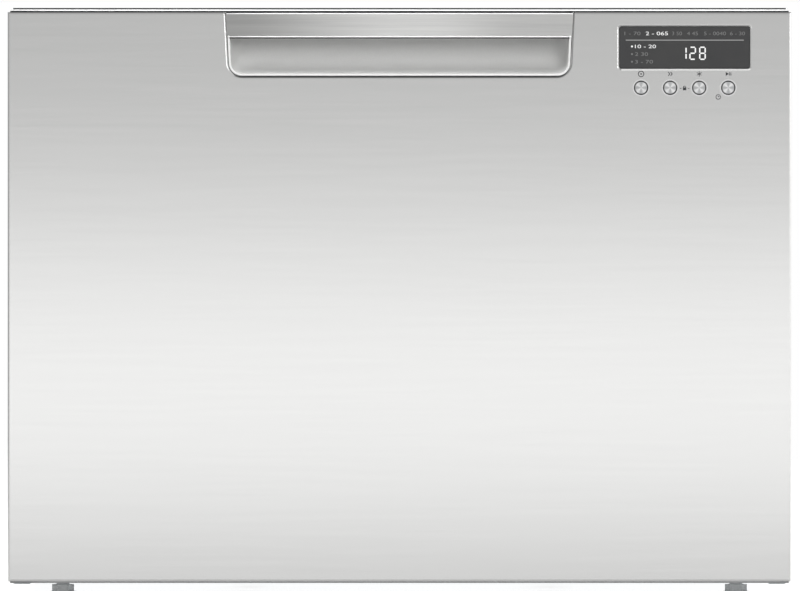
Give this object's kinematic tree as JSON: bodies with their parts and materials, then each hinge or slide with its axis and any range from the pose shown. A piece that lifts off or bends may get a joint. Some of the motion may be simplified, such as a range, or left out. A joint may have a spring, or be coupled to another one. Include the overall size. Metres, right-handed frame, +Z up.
{
  "type": "dishwasher drawer",
  "caption": "Built-in drawer dishwasher: tub on telescopic runners in a steel chassis, with a lifting lid, rack, spray arm, display and buttons.",
  "frame": {"origin": "on the floor, under the middle of the closed unit's bounding box", "axes": "+X to the right seen from the front, -Y out of the front (the way the drawer opens), +Z up"},
  "size_m": [0.599, 0.573, 0.454],
  "materials": {
    "galvanised_steel": "zinc-coated sheet",
    "brushed_stainless": "horizontally brushed stainless steel",
    "trim_stainless": "brushed stainless steel",
    "runner_steel": "zinc-plated rolled steel",
    "seal_rubber": "moulded black rubber",
    "lid_rubber": "moulded grey rubber",
    "foot_plastic": "moulded nylon",
    "white_plastic": "moulded white polypropylene",
    "tub_plastic": "moulded light grey polypropylene",
    "frame_plastic": "moulded grey polypropylene",
    "pocket_plastic": "moulded light grey ABS",
    "dark_plastic": "moulded dark grey plastic",
    "display_window": "dark tinted acrylic window",
    "circuit_board": "glass-epoxy circuit board",
    "button_metal": "turned metal face",
    "motor_housing": "moulded glass-filled plastic",
    "hose_rubber": "grey hose",
    "stainless_plate": "satin stainless steel",
    "wash_plastic": "moulded grey polypropylene",
    "rack_coating": "nylon-coated wire",
    "shelf_plastic": "moulded grey polypropylene"
  },
  "bodies": {
    "chassis": {"chassis_base": "galvanised_steel", "chassis_side_left": "galvanised_steel", "chassis_side_right": "galvanised_steel", "chassis_back": "galvanised_steel", "top_trim": "trim_stainless", "front_gasket": "seal_rubber", "mounting_brackets": "galvanised_steel", "runner_outer_left": "runner_steel", "runner_outer_right": "runner_steel", "inlet_valve": "white_plastic", "drain_spigot": "dark_plastic", "terminal_box": "white_plastic", "lid_rail_left": "white_plastic", "lid_rail_right": "white_plastic", "drain_hose": "hose_rubber"},
    "lid": {"lid_shell": "tub_plastic", "lid_seal": "lid_rubber"},
    "drawer": {"runner_inner_left": "runner_steel", "runner_inner_right": "runner_steel", "tub": "tub_plastic", "front_frame": "frame_plastic", "front_skin": "brushed_stainless", "handle_bar": "brushed_stainless", "handle_pocket": "pocket_plastic", "display_lens": "display_window", "button_guide": "dark_plastic", "control_board": "circuit_board", "wash_motor": "motor_housing", "drain_pump": "dark_plastic", "heater_plate": "stainless_plate", "filter_plate": "stainless_plate", "rack": "rack_coating", "rack_floor": "rack_coating", "cutlery_basket": "shelf_plastic", "dispenser": "tub_plastic", "fan_housing": "dark_plastic"},
    "runner_middle_left": {"runner_middle_left": "runner_steel"},
    "runner_middle_right": {"runner_middle_right": "runner_steel"},
    "link_front_left": {"link_front_left": "white_plastic"},
    "link_front_right": {"link_front_right": "white_plastic"},
    "link_rear_left": {"link_rear_left": "white_plastic"},
    "link_rear_right": {"link_rear_right": "white_plastic"},
    "foot_front_left": {"foot_front_left": "foot_plastic"},
    "foot_front_right": {"foot_front_right": "foot_plastic"},
    "foot_rear_left": {"foot_rear_left": "foot_plastic"},
    "foot_rear_right": {"foot_rear_right": "foot_plastic"},
    "button_power": {"button_power": "button_metal"},
    "button_mode": {"button_mode": "button_metal"},
    "button_star": {"button_star": "button_metal"},
    "button_start": {"button_start": "button_metal"},
    "spray_arm": {"spray_arm": "wash_plastic"},
    "pump_rotor": {"pump_rotor": "wash_plastic"},
    "fan_wheel": {"fan_wheel": "dark_plastic"},
    "dispenser_door": {"dispenser_door": "wash_plastic"},
    "rinse_cap": {"rinse_cap": "wash_plastic"},
    "drain_filter": {"drain_filter": "wash_plastic"},
    "tine_row_front": {"tine_row_front": "rack_coating"},
    "tine_row_rear": {"tine_row_rear": "rack_coating"},
    "cup_shelf_left": {"cup_shelf_left": "shelf_plastic"},
    "cup_shelf_right": {"cup_shelf_right": "shelf_plastic"}
  },
  "joints": [
    {"name": "drawer_slide", "type": "slide", "parent": "chassis", "child": "drawer", "axis": [0, -1, 0], "range_m": [0, 0.49], "deforming": ["drain_hose"]},
    {"name": "runner_middle_left_slide", "type": "slide", "parent": "chassis", "child": "runner_middle_left", "axis": [0, -1, 0], "range_m": [0, 0.245]},
    {"name": "runner_middle_right_slide", "type": "slide", "parent": "chassis", "child": "runner_middle_right", "axis": [0, -1, 0], "range_m": [0, 0.245]},
    {"name": "lid_raise", "type": "slide", "parent": "chassis", "child": "lid", "axis": [0, 0, 1], "range_m": [0, 0.008]},
    {"name": "link_front_left_swing", "type": "hinge", "parent": "chassis", "child": "link_front_left", "pos_m": [-0.28215, -0.1595, 0.4303], "axis": [1, 0, 0], "range_deg": [0, 11.5]},
    {"name": "link_front_right_swing", "type": "hinge", "parent": "chassis", "child": "link_front_right", "pos_m": [0.28215, -0.1595, 0.4303], "axis": [1, 0, 0], "range_deg": [0, 11.5]},
    {"name": "link_rear_left_swing", "type": "hinge", "parent": "chassis", "child": "link_rear_left", "pos_m": [-0.28215, 0.1105, 0.4303], "axis": [1, 0, 0], "range_deg": [0, 11.5]},
    {"name": "link_rear_right_swing", "type": "hinge", "parent": "chassis", "child": "link_rear_right", "pos_m": [0.28215, 0.1105, 0.4303], "axis": [1, 0, 0], "range_deg": [0, 11.5]},
    {"name": "foot_front_left_turn", "type": "hinge", "parent": "chassis", "child": "foot_front_left", "pos_m": [-0.2603, -0.2225, 0], "axis": [0, 0, 1], "continuous": true},
    {"name": "foot_front_right_turn", "type": "hinge", "parent": "chassis", "child": "foot_front_right", "pos_m": [0.2603, -0.2225, 0], "axis": [0, 0, 1], "continuous": true},
    {"name": "foot_rear_left_turn", "type": "hinge", "parent": "chassis", "child": "foot_rear_left", "pos_m": [-0.2603, 0.2445, 0], "axis": [0, 0, 1], "continuous": true},
    {"name": "foot_rear_right_turn", "type": "hinge", "parent": "chassis", "child": "foot_rear_right", "pos_m": [0.2603, 0.2445, 0], "axis": [0, 0, 1], "continuous": true},
    {"name": "button_power_press", "type": "slide", "parent": "drawer", "child": "button_power", "axis": [0, 1, 0], "range_m": [0, 0.0012], "stiffness_N_per_m": 400, "springref_m": -0.001},
    {"name": "button_mode_press", "type": "slide", "parent": "drawer", "child": "button_mode", "axis": [0, 1, 0], "range_m": [0, 0.0012], "stiffness_N_per_m": 400, "springref_m": -0.001},
    {"name": "button_star_press", "type": "slide", "parent": "drawer", "child": "button_star", "axis": [0, 1, 0], "range_m": [0, 0.0012], "stiffness_N_per_m": 400, "springref_m": -0.001},
    {"name": "button_start_press", "type": "slide", "parent": "drawer", "child": "button_start", "axis": [0, 1, 0], "range_m": [0, 0.0012], "stiffness_N_per_m": 400, "springref_m": -0.001},
    {"name": "spray_arm_spin", "type": "hinge", "parent": "drawer", "child": "spray_arm", "pos_m": [0, -0.0095, 0.112], "axis": [0, 0, 1], "continuous": true},
    {"name": "pump_rotor_spin", "type": "hinge", "parent": "drawer", "child": "pump_rotor", "pos_m": [0, -0.0095, 0.078], "axis": [0, 0, 1], "continuous": true},
    {"name": "fan_wheel_spin", "type": "hinge", "parent": "drawer", "child": "fan_wheel", "pos_m": [-0.07, -0.2665, 0.22], "axis": [0, 1, 0], "continuous": true},
    {"name": "dispenser_door_open", "type": "hinge", "parent": "drawer", "child": "dispenser_door", "pos_m": [0.056, -0.2231, 0.28], "axis": [-1, 0, 0], "range_deg": [0, 84]},
    {"name": "rinse_cap_turn", "type": "hinge", "parent": "drawer", "child": "rinse_cap", "pos_m": [0.132, -0.2321, 0.31], "axis": [0, 1, 0], "range_deg": [0, 90]},
    {"name": "drain_filter_turn", "type": "hinge", "parent": "drawer", "child": "drain_filter", "pos_m": [0.07, -0.0095, 0.1], "axis": [0, 0, 1], "range_deg": [0, 90]},
    {"name": "tine_row_front_fold", "type": "hinge", "parent": "drawer", "child": "tine_row_front", "pos_m": [0, -0.0395, 0.1458], "axis": [-1, 0, 0], "range_deg": [0, 84]},
    {"name": "tine_row_rear_fold", "type": "hinge", "parent": "drawer", "child": "tine_row_rear", "pos_m": [0, 0.0855, 0.1458], "axis": [-1, 0, 0], "range_deg": [0, 84]},
    {"name": "cup_shelf_left_fold", "type": "hinge", "parent": "drawer", "child": "cup_shelf_left", "pos_m": [-0.227, 0.0425, 0.216], "axis": [0, -1, 0], "range_deg": [0, 82]},
    {"name": "cup_shelf_right_fold", "type": "hinge", "parent": "drawer", "child": "cup_shelf_right", "pos_m": [0.227, 0.0425, 0.216], "axis": [0, 1, 0], "range_deg": [0, 82]}
  ],
  "couplings": [
    {"joint": "runner_middle_left_slide", "follows": "drawer_slide", "ratio": 0.5},
    {"joint": "runner_middle_right_slide", "follows": "drawer_slide", "ratio": 0.5},
    {"joint": "link_front_left_swing", "follows": "lid_raise", "rad_per_m": 25.042},
    {"joint": "link_front_right_swing", "follows": "lid_raise", "rad_per_m": 25.042},
    {"joint": "link_rear_left_swing", "follows": "lid_raise", "rad_per_m": 25.042},
    {"joint": "link_rear_right_swing", "follows": "lid_raise", "rad_per_m": 25.042}
  ]
}
